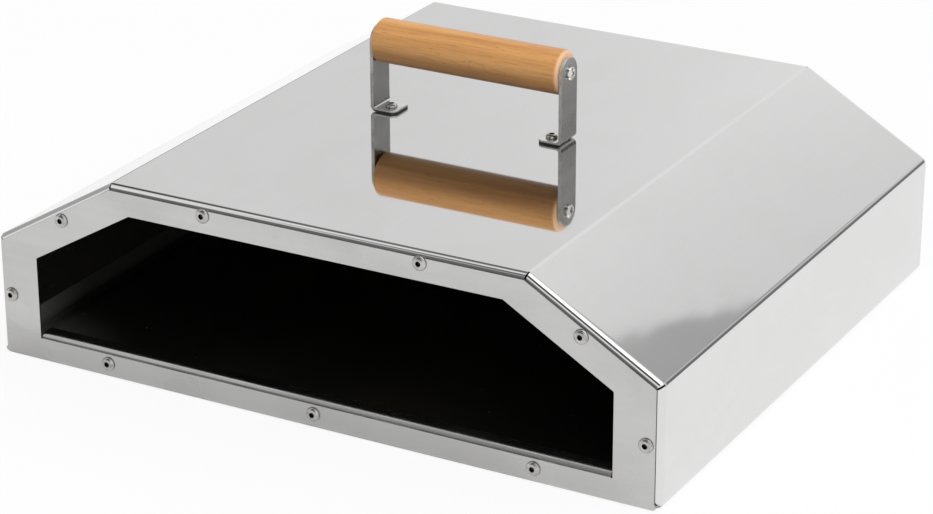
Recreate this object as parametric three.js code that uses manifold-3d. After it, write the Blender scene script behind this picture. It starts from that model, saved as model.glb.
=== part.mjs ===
// A pizza oven of stainless sheet that stands on a barbecue grate: a folded body with a wide mouth,
// riveted front and rear plates, a floor pan, and a wooden carrying handle on two strap brackets.
// X is the width, Z is up and the mouth faces -Y. The origin is the middle of the footprint.
import * as THREE from "three";
import { mergeVertices } from "three/addons/utils/BufferGeometryUtils.js";
import Module from "manifold-3d";

const wasm = await Module();
wasm.setup();

// Driving dimensions of the body, in millimetres.
const bodyWidth = 400;
const bodyDepth = 350; // over the folded front and rear edges
const bodyHeight = 113;
const wallHeight = 68.7; // side wall, from the base to the slope
const roofWidth = 249; // flat top between the two slopes
const sheet = 1;
const bendRadius = 4.4; // outside radius of the folds along the body
const footRadius = 4.4; // outside radius where the walls turn under
const hemRadius = 3.8; // outside radius where the front and rear edges turn in
const hemWidth = 12; // of the turned edges and of the strips under the body
const slitWidth = 1; // relief slit at each corner of a turned edge
const seatGap = 0.1; // between parts that lie flat on each other
const sideGap = 0.3; // around parts that stand inside others

// The front and rear plates.
const plateInset = 2.9; // from the body's outline
const mitreHeight = 4.5; // where the plate's side ends and its lower corner starts
const mitreEndGap = 0.7; // between the lower corner and the body's side
const toeRadius = 2.5; // outside radius of the plate's lower fold
const toeLength = 12.5; // of the flange that it turns under the pan

// The mouth in the front plate.
const wallBand = 26.1; // from the body's side to the mouth
const slopeBand = 20;
const roofBand = 15.8;
const sillHeight = 16.3;
const sillRadius = 2; // outside radius of the folded sill
const sillDepth = 9; // how far the folded sill reaches in
const sillRelief = 1.3; // slot at each end of the sill
const mouthCornerRadius = 1.2;

// The floor pan.
const panSheet = 0.8;
const panBend = 3; // outside radius
const panCornerRadius = 3.3;
const panSideHeight = 15;
const panEndHeight = 12;
const panEndInset = 2; // gap between its end flanges and the hems beside them

// Blind rivets.
const rivetHeadRadius = 4;
const rivetHeadHeight = 1.6;
const tabRivetHeadRadius = 3.4;
const tabRivetHeadHeight = 2;
const rivetRim = 0.35;
const rivetShankRadius = 2;
const rivetPitRadius = 1.5;
const rivetPitDepth = 1.2;
const rivetBulbRadius = 2.9;
const rivetBulbLength = 3.2;
const rivetBulbLead = 0.3;
const roofRivetSpacing = 129.6;
const roofRivetInset = 6;
const slopeRivetInset = 7;
const slopeRivetShare = 0.54; // of the slope, from its lower end
const wallRivetInset = 8;
const wallRivetHeight = 36;
const sillRivetPitch = 129.7;
const sillRivetHeight = 8.2;

// The carrying handle.
const handleSpan = 120; // over the two brackets
const handleHeight = 40; // grip axis above the roof
const handleY = -4.6;
const strapWidth = 17.5;
const strapSheet = 2;
const strapBend = 3.5; // outside radius
const tabReach = 15.5; // from the bracket's outer face to the end of its foot
const tabRivetReach = 9.5; // from the same face to the rivet
const tabRivetLead = 1.8; // from the strap's middle towards the mouth
const tabCornerRadius = 4;
const gripDiameter = 25;
const gripEdge = 2; // rounding of its rims
const pilotLength = 26;
const screwHeadRadius = 3.8;
const screwHeadHeight = 2.3;
const screwRimShare = 0.33; // of the head's height
const screwShankRadius = 1.7;
const screwLength = 24;
const screwTip = 4;
const crossWidth = 1;
const crossLength = 4;
const crossDepth = 1.3;

const overrun = 5; // how far a cut runs past what it cuts
const bendSteps = 4;
const roundSteps = 12;
const endSteps = 10;
const gripSteps = 28;

const halfDepth = bodyDepth / 2;
const rivetHoleRadius = rivetShankRadius + sideGap;
const screwHoleRadius = screwShankRadius + sideGap;
const plateFront = halfDepth + seatGap + sheet;
const panSeat = sheet + seatGap;
const tabRivetX = handleSpan / 2 - tabRivetReach;
const steelColour = 0xd6d6d4;
const plateColour = 0xc3c2be;
const rivetColour = 0xb9b8b4;
const woodColour = 0xcf9558;

const finishes = {
  steel: { color: steelColour, roughness: 0.18, metalness: 1 },
  plate: { color: plateColour, roughness: 0.36, metalness: 1 },
  rivet: { color: rivetColour, roughness: 0.25, metalness: 1 },
  wood: { color: woodColour, roughness: 0.55, metalness: 0 },
};

// A closed geometry as a solid that can be joined and cut.
function solidOf(geometry) {
  const bare = geometry.clone();
  bare.deleteAttribute("normal");
  bare.deleteAttribute("uv");
  const merged = mergeVertices(bare);
  const vertProperties = new Float32Array(merged.attributes.position.array);
  const triVerts = new Uint32Array(merged.index.array);
  return new wasm.Manifold(new wasm.Mesh({ numProp: 3, vertProperties, triVerts }));
}

function geometryOf(solid) {
  const { numProp, vertProperties, triVerts } = solid.getMesh();
  const indexed = new THREE.BufferGeometry();
  indexed.setAttribute("position", new THREE.BufferAttribute(vertProperties, numProp));
  indexed.setIndex(new THREE.BufferAttribute(triVerts, 1));
  const flat = indexed.toNonIndexed();
  flat.computeVertexNormals();
  return flat;
}

function cutFrom(solid, cutters) {
  return cutters.reduce((rest, cutter) => rest.subtract(cutter), solid);
}

// Corners are given clockwise, so the inside lies on the right of each edge.
function inwardNormal(from, to) {
  const along = to.clone().sub(from).normalize();
  return new THREE.Vector2(along.y, -along.x);
}

// The point that lies at the given distances inside the two edges that meet at a corner.
function insideCorner(before, corner, after, distanceBefore, distanceAfter) {
  const n = inwardNormal(before, corner);
  const m = inwardNormal(corner, after);
  const a = corner.dot(n) + distanceBefore;
  const b = corner.dot(m) + distanceAfter;
  const cross = n.x * m.y - n.y * m.x;
  return new THREE.Vector2((a * m.y - b * n.y) / cross, (b * n.x - a * m.x) / cross);
}

function insetPolygon(corners, inset) {
  const count = corners.length;
  return corners.map((corner, i) =>
    insideCorner(corners[(i + count - 1) % count], corner, corners[(i + 1) % count], inset, inset),
  );
}

// Points round a corner on an arc of the given radius, about a centre that keeps cornerRadius inside.
function cornerArc(before, corner, after, cornerRadius, radius) {
  const centre = insideCorner(before, corner, after, cornerRadius, cornerRadius);
  const start = inwardNormal(before, corner).negate().angle();
  const end = inwardNormal(corner, after).negate().angle();
  const turn = THREE.MathUtils.euclideanModulo(start - end, Math.PI * 2);
  return Array.from({ length: bendSteps + 1 }, (_, k) => {
    const angle = start - (turn * k) / bendSteps;
    return new THREE.Vector2(Math.cos(angle), Math.sin(angle)).multiplyScalar(radius).add(centre);
  });
}

function roundedPolygon(corners, radii) {
  const count = corners.length;
  return corners.flatMap((corner, i) =>
    cornerArc(corners[(i + count - 1) % count], corner, corners[(i + 1) % count], radii[i], radii[i]),
  );
}

// A bent strip of sheet seen from its edge: the given points run along its outer face.
function bentStrip(points, radius, thickness) {
  const outer = [points[0]];
  const inner = [];
  const last = points.length - 1;
  inner.push(inwardNormal(points[0], points[1]).multiplyScalar(thickness).add(points[0]));
  for (let i = 1; i < last; i++) {
    const turn = [points[i - 1], points[i], points[i + 1], radius];
    outer.push(...cornerArc(...turn, radius));
    inner.push(...cornerArc(...turn, radius - thickness));
  }
  outer.push(points[last]);
  inner.push(inwardNormal(points[last - 1], points[last]).multiplyScalar(thickness).add(points[last]));
  return [...outer, ...inner.reverse()];
}

function prism(points, from, to, holes = []) {
  const shape = new THREE.Shape(points);
  shape.holes = holes.map((hole) => new THREE.Path([...hole].reverse()));
  const geometry = new THREE.ExtrudeGeometry(shape, { depth: to - from, bevelEnabled: false });
  return geometry.translate(0, 0, from);
}

// A prism whose two ends are rounded over, from one outer end face to the other.
function roundEndedPrism(points, rounding, from, to) {
  const geometry = new THREE.ExtrudeGeometry(new THREE.Shape(points), {
    depth: to - from - rounding * 2,
    bevelThickness: rounding,
    bevelSize: rounding,
    bevelOffset: -rounding,
    bevelSegments: bendSteps,
  });
  return geometry.translate(0, 0, from + rounding);
}

function block(x0, x1, y0, y1, z0, z1) {
  const box = new THREE.BoxGeometry(x1 - x0, y1 - y0, z1 - z0);
  return solidOf(box.translate((x0 + x1) / 2, (y0 + y1) / 2, (z0 + z1) / 2));
}

// The body's outline across its width, with up as the second coordinate.
function bodyOutline(inset) {
  const corners = [
    new THREE.Vector2(-bodyWidth / 2, 0),
    new THREE.Vector2(-bodyWidth / 2, wallHeight),
    new THREE.Vector2(-roofWidth / 2, bodyHeight),
    new THREE.Vector2(roofWidth / 2, bodyHeight),
    new THREE.Vector2(bodyWidth / 2, wallHeight),
    new THREE.Vector2(bodyWidth / 2, 0),
  ];
  return insetPolygon(corners, inset);
}

// Where the rivets of one end plate sit, as across and up, named by the edge that each one holds.
function plateRivets() {
  const eave = new THREE.Vector2(bodyWidth / 2, wallHeight);
  const ridge = new THREE.Vector2(roofWidth / 2, bodyHeight);
  const inwards = inwardNormal(ridge, eave).multiplyScalar(slopeRivetInset);
  const right = {
    roof: new THREE.Vector2(roofRivetSpacing / 2, bodyHeight - roofRivetInset),
    slope: eave.clone().lerp(ridge, slopeRivetShare).add(inwards),
    wall: new THREE.Vector2(bodyWidth / 2 - wallRivetInset, wallRivetHeight),
    sill: new THREE.Vector2(sillRivetPitch, sillRivetHeight),
  };
  const pairs = Object.entries(right).flatMap(([edge, place]) => [
    { name: `${edge}_right`, place },
    { name: `${edge}_left`, place: new THREE.Vector2(-place.x, place.y) },
  ]);
  return [...pairs, { name: "sill_middle", place: new THREE.Vector2(0, sillRivetHeight) }];
}

function rivetHoles() {
  return plateRivets().map(({ place }) => {
    const hole = new THREE.CylinderGeometry(rivetHoleRadius, rivetHoleRadius, bodyDepth * 2, roundSteps);
    return solidOf(hole.rotateX(Math.PI / 2).translate(place.x, place.y, 0));
  });
}

// The region at the foot of each end that the plate's lower fold takes, widened by a margin.
function footRegion(margin) {
  const side = bodyWidth / 2 - plateInset;
  const top = mitreHeight + margin;
  const tip = side + top + overrun;
  return [
    new THREE.Vector2(-side, top),
    new THREE.Vector2(side, top),
    new THREE.Vector2(tip, -overrun),
    new THREE.Vector2(-tip, -overrun),
  ];
}

function makeShell() {
  const radii = [footRadius, bendRadius, bendRadius, bendRadius, bendRadius, footRadius];
  const innerRadii = radii.map((radius) => radius - sheet);
  const outside = roundedPolygon(bodyOutline(0), radii);
  const inside = roundedPolygon(bodyOutline(sheet), innerRadii);
  const innerEnd = halfDepth - sheet;
  const outer = solidOf(roundEndedPrism(outside, hemRadius, -halfDepth, halfDepth));
  const inner = solidOf(roundEndedPrism(inside, hemRadius - sheet, -innerEnd, innerEnd));
  const window = bodyOutline(hemWidth);
  window[0].y = -overrun;
  window[window.length - 1].y = -overrun;
  const past = halfDepth + overrun;
  const cutters = [
    inner,
    solidOf(prism(window, -past, past)),
    solidOf(prism(footRegion(slitWidth), halfDepth - hemRadius, past)),
    solidOf(prism(footRegion(slitWidth), -past, -halfDepth + hemRadius)),
    ...cornerSlits(),
    ...rivetHoles(),
    ...roofHoles(),
  ];
  return geometryOf(cutFrom(outer, cutters));
}

// Relief slits through the turned edges, one along the bisector of each corner above the feet.
function cornerSlits() {
  const corners = bodyOutline(0);
  const reach = hemWidth * 2;
  const depth = hemRadius + sheet;
  return corners.slice(1, -1).flatMap((corner, i) => {
    const inwards = insideCorner(corners[i], corner, corners[i + 2], hemWidth, hemWidth).sub(corner);
    const slit = new THREE.BoxGeometry(reach * 2, slitWidth, depth * 2);
    slit.rotateZ(inwards.angle()).translate(corner.x, corner.y, 0);
    return [-halfDepth, halfDepth].map((end) => solidOf(slit.clone().translate(0, 0, end)));
  });
}

function roofHoles() {
  return [-1, 1].map((side) => {
    const hole = new THREE.CylinderGeometry(rivetHoleRadius, rivetHoleRadius, hemWidth, roundSteps);
    return solidOf(hole.translate(side * tabRivetX, bodyHeight, tabRivetLead - handleY));
  });
}

// The mouth's outline, clockwise from the lower left corner. Its lower edge is the end slots' depth.
function mouthOutline() {
  const body = bodyOutline(0);
  const bands = [wallBand, slopeBand, roofBand, slopeBand, wallBand];
  const upper = body.slice(1, -1).map((corner, i) =>
    insideCorner(body[i], corner, body[i + 2], bands[i], bands[i + 1]),
  );
  const slotBottom = sillHeight - sillRadius - sheet;
  const halfWidth = bodyWidth / 2 - wallBand;
  const corners = [
    new THREE.Vector2(-halfWidth, slotBottom),
    ...upper,
    new THREE.Vector2(halfWidth, slotBottom),
  ];
  return roundedPolygon(corners, corners.map(() => mouthCornerRadius));
}

// A flange folded from the plate: an edge profile in depth and height, carried across the width.
function crossFold(profile, radius, halfLength) {
  const strip = prism(bentStrip(profile, radius, sheet), -halfLength, halfLength);
  return solidOf(strip.rotateY(-Math.PI / 2));
}

// The flat part stands on its lower fold, which turns under the pan between the strips of the body.
function makeEndPlate(hasMouth) {
  const back = plateFront - sheet;
  const side = bodyWidth / 2 - plateInset;
  const outline = bodyOutline(plateInset);
  outline[0].y = mitreHeight;
  outline[outline.length - 1].y = mitreHeight;
  const flat = solidOf(prism(outline, back, plateFront, hasMouth ? [mouthOutline()] : []));
  const foldTop = mitreHeight + sheet;
  const toeProfile = [
    new THREE.Vector2(plateFront, foldTop),
    new THREE.Vector2(plateFront, 0),
    new THREE.Vector2(plateFront - toeLength, 0),
  ];
  const reach = bodyWidth / 2 - mitreEndGap;
  const toe = crossFold(toeProfile, toeRadius, reach);
  const roundCorners = [
    new THREE.Vector2(-reach, 0),
    new THREE.Vector2(-reach, wallHeight),
    new THREE.Vector2(reach, wallHeight),
    new THREE.Vector2(reach, 0),
  ];
  const rounded = roundedPolygon(roundCorners, roundCorners.map(() => footRadius));
  const foot = solidOf(prism(footRegion(0), -overrun, plateFront + overrun)).intersect(
    solidOf(prism(rounded, -overrun * 2, plateFront + overrun * 2)),
  );
  const rise = block(-side, side, mitreHeight, foldTop, back, plateFront);
  const stripEdge = bodyWidth / 2 - hemWidth - sideGap;
  const strip = block(stripEdge, bodyWidth, -overrun, foldTop, 0, plateFront - toeRadius);
  const toeCut = cutFrom(toe.intersect(foot.add(rise)), [strip, strip.mirror([1, 0, 0])]);
  const folded = flat.add(toeCut);
  const plate = hasMouth ? folded.add(makeSill()) : folded;
  return geometryOf(cutFrom(plate, rivetHoles()));
}

// The mouth's lower edge, folded in to a smooth lip.
function makeSill() {
  const profile = [
    new THREE.Vector2(plateFront - sillDepth, sillHeight),
    new THREE.Vector2(plateFront, sillHeight),
    new THREE.Vector2(plateFront, sillHeight - sillRadius - sheet * 2),
  ];
  return crossFold(profile, sillRadius, bodyWidth / 2 - wallBand - sillRelief);
}

// The pan in its own frame, with Y towards the rear and Z up.
function makePan() {
  const panOutline = (inset) => {
    const x = bodyWidth / 2 - sheet - sideGap - inset;
    const y = halfDepth - sideGap - inset;
    const corners = [
      new THREE.Vector2(-x, -y),
      new THREE.Vector2(-x, y),
      new THREE.Vector2(x, y),
      new THREE.Vector2(x, -y),
    ];
    return roundedPolygon(corners, corners.map(() => panCornerRadius - inset));
  };
  const tall = panSideHeight * 2;
  const outer = solidOf(roundEndedPrism(panOutline(0), panBend, 0, tall));
  const inner = solidOf(roundEndedPrism(panOutline(panSheet), panBend - panSheet, panSheet, tall * 2));
  const endX = bodyWidth / 2 - hemWidth - panEndInset;
  const hemBack = halfDepth - hemRadius;
  const corner = block(endX, bodyWidth, hemBack, bodyDepth, -overrun, tall);
  const endTop = block(-endX, endX, hemBack, bodyDepth, panEndHeight, tall);
  const frontCuts = [corner, corner.mirror([1, 0, 0]), endTop];
  const rearCuts = frontCuts.map((cut) => cut.mirror([0, 1, 0]));
  const lid = block(-bodyWidth, bodyWidth, -bodyDepth, bodyDepth, panSideHeight, tall + overrun);
  const drills = plateRivets()
    .filter(({ name }) => name.startsWith("sill"))
    .map(({ place }) => {
      const drill = new THREE.CylinderGeometry(rivetHoleRadius, rivetHoleRadius, bodyDepth * 2, roundSteps);
      return solidOf(drill.translate(place.x, 0, place.y - panSeat));
    });
  return geometryOf(cutFrom(outer, [inner, lid, ...frontCuts, ...rearCuts, ...drills]));
}

// A blind rivet on its own axis, with the underside of its head at zero and its head up.
function makeRivet(gripLength, headRadius, headHeight) {
  const pitFloor = headHeight - rivetPitDepth;
  const bulbTop = -gripLength;
  const bulbEnd = bulbTop - rivetBulbLength;
  const dome = Array.from({ length: bendSteps + 1 }, (_, k) => {
    const angle = ((Math.PI / 2) * k) / bendSteps;
    const reach = headRadius - rivetPitRadius;
    const rise = headHeight - rivetRim;
    return new THREE.Vector2(rivetPitRadius + reach * Math.cos(angle), rivetRim + rise * Math.sin(angle));
  });
  const profile = [
    new THREE.Vector2(0, bulbEnd),
    new THREE.Vector2(rivetShankRadius, bulbEnd),
    new THREE.Vector2(rivetBulbRadius, bulbEnd + rivetBulbLength / 2),
    new THREE.Vector2(rivetBulbRadius, bulbTop - rivetBulbLead),
    new THREE.Vector2(rivetShankRadius, bulbTop - rivetBulbLead),
    new THREE.Vector2(rivetShankRadius, 0),
    new THREE.Vector2(headRadius, 0),
    ...dome,
    new THREE.Vector2(rivetPitRadius, pitFloor),
    new THREE.Vector2(0, pitFloor),
  ];
  return new THREE.LatheGeometry(profile, roundSteps);
}

// A strap with a round top, bent to a foot: its outer face is at zero and its foot reaches +X.
function makeBracket(rivetZ) {
  const top = handleHeight + strapWidth / 2;
  const half = strapWidth / 2;
  const face = [
    new THREE.Vector2(tabReach + overrun, seatGap),
    new THREE.Vector2(0, seatGap),
    new THREE.Vector2(0, top + overrun),
  ];
  const strip = solidOf(prism(bentStrip(face, strapBend, strapSheet), -strapWidth, strapWidth));
  const plan = new THREE.Shape();
  plan.moveTo(-overrun, -half);
  plan.lineTo(tabReach - tabCornerRadius, -half);
  plan.absarc(tabReach - tabCornerRadius, tabCornerRadius - half, tabCornerRadius, -Math.PI / 2, 0);
  plan.absarc(tabReach - tabCornerRadius, half - tabCornerRadius, tabCornerRadius, 0, Math.PI / 2);
  plan.lineTo(-overrun, half);
  const footOutline = prism(plan.getPoints(endSteps), -overrun, top + overrun);
  const front = new THREE.Shape();
  front.moveTo(half, -overrun);
  front.lineTo(half, handleHeight);
  front.absarc(0, handleHeight, half, 0, Math.PI);
  front.lineTo(-half, -overrun);
  const strapOutline = prism(front.getPoints(endSteps), -overrun, tabReach + overrun);
  const hole = new THREE.CylinderGeometry(rivetHoleRadius, rivetHoleRadius, tabReach, roundSteps);
  const screwHole = new THREE.CylinderGeometry(screwHoleRadius, screwHoleRadius, tabReach, roundSteps);
  const bracket = strip
    .intersect(solidOf(footOutline.rotateX(-Math.PI / 2)))
    .intersect(solidOf(strapOutline.rotateY(Math.PI / 2)));
  const cutters = [
    solidOf(hole.translate(tabRivetReach, 0, rivetZ)),
    solidOf(screwHole.rotateZ(Math.PI / 2).translate(0, handleHeight, 0)),
  ];
  return geometryOf(cutFrom(bracket, cutters));
}

// The grip turned about the handle's length, with a pilot hole in each end.
function makeGrip() {
  const radius = gripDiameter / 2;
  const end = handleSpan / 2 - strapSheet - sideGap;
  const bore = screwShankRadius + sideGap;
  const rim = Array.from({ length: bendSteps + 1 }, (_, k) => {
    const angle = ((Math.PI / 2) * k) / bendSteps;
    return new THREE.Vector2(
      radius - gripEdge + gripEdge * Math.cos(angle),
      end - gripEdge + gripEdge * Math.sin(angle),
    );
  });
  const half = [
    ...rim,
    new THREE.Vector2(bore, end),
    new THREE.Vector2(bore, end - pilotLength),
    new THREE.Vector2(0, end - pilotLength),
  ];
  const other = half.map((point) => new THREE.Vector2(point.x, -point.y)).reverse();
  return new THREE.LatheGeometry([...other, ...half], gripSteps);
}

// A pan head screw with a cross slot, with the underside of its head at zero and its head up.
function makeScrew() {
  const rim = screwHeadHeight * screwRimShare;
  const dome = Array.from({ length: bendSteps + 1 }, (_, k) => {
    const angle = ((Math.PI / 2) * k) / bendSteps;
    const rise = screwHeadHeight - rim;
    return new THREE.Vector2(screwHeadRadius * Math.cos(angle), rim + rise * Math.sin(angle));
  });
  dome[bendSteps].x = 0;
  const profile = [
    new THREE.Vector2(0, -screwLength),
    new THREE.Vector2(screwShankRadius, -screwLength + screwTip),
    new THREE.Vector2(screwShankRadius, 0),
    new THREE.Vector2(screwHeadRadius, 0),
    ...dome,
  ];
  const long = crossLength / 2;
  const thin = crossWidth / 2;
  const floor = screwHeadHeight - crossDepth;
  const past = screwHeadHeight + overrun;
  const slots = [block(-long, long, floor, past, -thin, thin), block(-thin, thin, floor, past, -long, long)];
  return geometryOf(cutFrom(solidOf(new THREE.LatheGeometry(profile, roundSteps)), slots));
}

const group = new THREE.Group();
// Inside the upright groups X runs across the body, Y is up and Z points out of the mouth.
const upright = new THREE.Group();
upright.rotation.x = Math.PI / 2;
const handle = new THREE.Group();
handle.position.set(0, bodyHeight, -handleY);
upright.add(handle);
group.add(upright);

function addMesh(parent, name, geometry, finish) {
  const mesh = new THREE.Mesh(geometry, new THREE.MeshStandardMaterial(finishes[finish]));
  mesh.name = name;
  parent.add(mesh);
  return mesh;
}

addMesh(upright, "body_shell", makeShell(), "steel");
addMesh(upright, "front_frame", makeEndPlate(true), "plate");
addMesh(upright, "rear_panel", makeEndPlate(false), "plate").rotation.y = Math.PI;
addMesh(group, "floor_pan", makePan(), "steel").position.z = panSeat;

const plateRivetGrip = sheet * 2 + seatGap * 3;
const plateRivet = makeRivet(plateRivetGrip, rivetHeadRadius, rivetHeadHeight);
const tabRivetGrip = sheet + strapSheet + seatGap * 2;
const tabRivet = makeRivet(tabRivetGrip, tabRivetHeadRadius, tabRivetHeadHeight);
const gripScrew = makeScrew();

for (const [end, facing] of [["front", 1], ["rear", -1]]) {
  for (const { name, place } of plateRivets()) {
    const rivet = addMesh(upright, `${end}_rivet_${name}`, plateRivet, "rivet");
    rivet.position.set(place.x, place.y, facing * (plateFront + seatGap));
    rivet.rotation.x = (facing * Math.PI) / 2;
  }
}

const grip = addMesh(handle, "grip", makeGrip(), "wood");
grip.position.y = handleHeight;
grip.rotation.z = Math.PI / 2;
for (const [name, side] of [["left", -1], ["right", 1]]) {
  const strap = addMesh(handle, `${name}_bracket`, makeBracket(-side * tabRivetLead), "plate");
  strap.position.x = (side * handleSpan) / 2;
  strap.rotation.y = side > 0 ? Math.PI : 0; // turned about, so the rivet is on its other side
  const rivet = addMesh(handle, `${name}_bracket_rivet`, tabRivet, "rivet");
  rivet.position.set(side * tabRivetX, strapSheet + seatGap * 2, tabRivetLead);
  const screw = addMesh(handle, `${name}_grip_screw`, gripScrew, "rivet");
  screw.position.set(side * (handleSpan / 2 + seatGap), handleHeight, 0);
  screw.rotation.z = (-side * Math.PI) / 2;
}

export default group;
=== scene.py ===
# Looks for a riveted sheet steel pizza oven with a wooden carrying handle.
# Lengths are in millimetres up to the moment when a mesh is filled.
import math

import bmesh
import bpy
import numpy as np
from mathutils import Matrix, Vector


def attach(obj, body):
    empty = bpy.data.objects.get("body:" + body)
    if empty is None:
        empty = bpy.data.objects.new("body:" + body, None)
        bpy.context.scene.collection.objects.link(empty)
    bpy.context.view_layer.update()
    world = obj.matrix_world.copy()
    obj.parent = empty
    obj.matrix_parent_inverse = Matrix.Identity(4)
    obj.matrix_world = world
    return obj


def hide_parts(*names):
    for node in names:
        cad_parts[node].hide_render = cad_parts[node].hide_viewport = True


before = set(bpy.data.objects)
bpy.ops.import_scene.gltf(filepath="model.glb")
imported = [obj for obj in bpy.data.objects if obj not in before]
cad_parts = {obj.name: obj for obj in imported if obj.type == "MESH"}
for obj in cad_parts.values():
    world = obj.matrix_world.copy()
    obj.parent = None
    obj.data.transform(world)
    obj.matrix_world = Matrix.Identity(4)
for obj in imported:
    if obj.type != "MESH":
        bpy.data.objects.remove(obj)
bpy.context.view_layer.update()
print("frame loaded:", len(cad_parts), "nodes")

millimetre = 0.001
weldDistance = 0.000002

viewpoint = {
    "azimuth": 29.15,
    "elevation": 22.98,
    "roll": -0.18,
    "distance": 1754.74,
    "target": (-6.51, 0, 30.32),
    "lens": 119.946,
    "sensor": 36,
    "clip": (0.05, 60),  # metres
}


# The camera looks back along a direction given by its azimuth and elevation, then rolls about it.
def placeCamera(values):
    turns = [math.radians(values[key]) for key in ("azimuth", "elevation", "roll")]
    azimuth, elevation, roll = turns
    level = math.cos(elevation)
    back = Vector((math.sin(azimuth) * level, -math.cos(azimuth) * level, math.sin(elevation)))
    right = Vector((0, 0, 1)).cross(back).normalized()
    up = back.cross(right)
    rolledRight = right * math.cos(roll) + up * math.sin(roll)
    rolledUp = up * math.cos(roll) - right * math.sin(roll)
    place = (Vector(values["target"]) + back * values["distance"]) * millimetre
    lensData = bpy.data.cameras.new("camera")
    lensData.lens = values["lens"]
    lensData.sensor_width = values["sensor"]
    lensData.clip_start, lensData.clip_end = values["clip"]
    camera = bpy.data.objects.new("camera", lensData)
    axes = Matrix((rolledRight, rolledUp, back)).transposed().to_4x4()
    camera.matrix_world = Matrix.Translation(place) @ axes
    bpy.context.scene.collection.objects.link(camera)
    bpy.context.scene.camera = camera


placeCamera(viewpoint)
bpy.context.scene.view_settings.view_transform = "Standard"
print("camera placed")


# A socket among the inputs is linked, and any other value is set on the node itself.
def setInputs(tree, node, inputs):
    for name, value in inputs.items():
        if isinstance(value, bpy.types.NodeSocket):
            tree.links.new(value, node.inputs[name])
        else:
            node.inputs[name].default_value = value


def addNode(tree, kind, inputs=None, **settings):
    node = tree.nodes.new(kind)
    for name, value in settings.items():
        setattr(node, name, value)
    setInputs(tree, node, inputs or {})
    return node


def calculate(tree, operation, first, second=0.0, clamp=False):
    inputs = {0: first, 1: second}
    return addNode(tree, "ShaderNodeMath", inputs, operation=operation, use_clamp=clamp).outputs[0]


def combine(tree, operation, first, second=(0, 0, 0)):
    inputs = {0: first, 1: second}
    return addNode(tree, "ShaderNodeVectorMath", inputs, operation=operation).outputs["Vector"]


def measure(tree, operation, first, second=(0, 0, 0)):
    inputs = {0: first, 1: second}
    return addNode(tree, "ShaderNodeVectorMath", inputs, operation=operation).outputs["Value"]


def objectPlace(tree):
    return addNode(tree, "ShaderNodeTexCoord").outputs["Object"]


# Noise on the object's own coordinates, with as many waves per metre along each axis as stretch says.
def stretchedNoise(tree, stretch, detail=3.0, roughness=0.5, distortion=0.0, shift=(0, 0, 0)):
    inputs = {"Vector": objectPlace(tree), "Scale": stretch, "Location": shift}
    mapped = addNode(tree, "ShaderNodeMapping", inputs)
    inputs = {
        "Vector": mapped.outputs[0],
        "Scale": 1.0,
        "Detail": detail,
        "Roughness": roughness,
        "Distortion": distortion,
    }
    return addNode(tree, "ShaderNodeTexNoise", inputs).outputs["Fac"]


def ramp(tree, source, stops):
    node = addNode(tree, "ShaderNodeValToRGB", {"Fac": source})
    band = node.color_ramp
    while len(band.elements) < len(stops):
        band.elements.new(0.5)
    for element, (position, colour) in zip(band.elements, stops):
        element.position = position
        element.color = (*colour, 1)
    return node.outputs["Color"]


# Carries the range from low to high over to the new one, and holds its ends beyond it.
def rescale(tree, source, low, high, newLow=0, newHigh=1, kind="LINEAR"):
    inputs = {"Value": source, "From Min": low, "From Max": high, "To Min": newLow, "To Max": newHigh}
    return addNode(tree, "ShaderNodeMapRange", inputs, interpolation_type=kind).outputs["Result"]


def smoothShare(tree, source, low, high):
    return rescale(tree, source, low, high, kind="SMOOTHSTEP")


# The colours are the inputs 6 and 7 of a Mix node, and the mixed one is its output 2.
def mixColours(tree, factor, first, second, blend="MIX"):
    first, second = ((*c, 1) if isinstance(c, tuple) else c for c in (first, second))
    inputs = {0: factor, 6: first, 7: second}
    return addNode(tree, "ShaderNodeMix", inputs, data_type="RGBA", blend_type=blend).outputs[2]


def multiplyColours(tree, first, second):
    return mixColours(tree, 1.0, first, second, "MULTIPLY")


def mixShaders(tree, share, first, second, output):
    inputs = {0: share, 1: first.outputs[0], 2: second.outputs[0]}
    mixed = addNode(tree, "ShaderNodeMixShader", inputs)
    addNode(tree, output, {"Surface": mixed.outputs[0]})


def bump(tree, height, distance):
    inputs = {"Height": height, "Distance": distance, "Strength": 1.0}
    return addNode(tree, "ShaderNodeBump", inputs).outputs["Normal"]


def emptyTree(holder):
    holder.use_nodes = True
    holder.node_tree.nodes.clear()
    return holder.node_tree


def newMaterial(name):
    material = bpy.data.materials.new(name)
    tree = emptyTree(material)
    shader = addNode(tree, "ShaderNodeBsdfPrincipled")
    addNode(tree, "ShaderNodeOutputMaterial", {"Surface": shader.outputs[0]})
    return material, tree, shader


brightSteelLook = {
    "light": (0.735, 0.735, 0.732),
    "dull": (0.715, 0.715, 0.711),
    "grainStretch": (1300, 16, 1300),  # per metre: lines along the depth
    "grainShare": 0.985,
    "grainRange": (0.3, 0.7),  # a range is the part of the noise that a pattern uses
    "smudgeStretch": (16, 9, 16),
    "smudgeRange": (0.38, 0.7),
    "waveStretch": (9, 5, 9),
    "waveDepth": 0.00003,
    "roughness": (0.02, 0.06),
    "roughRange": (0.35, 0.75),
}


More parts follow.
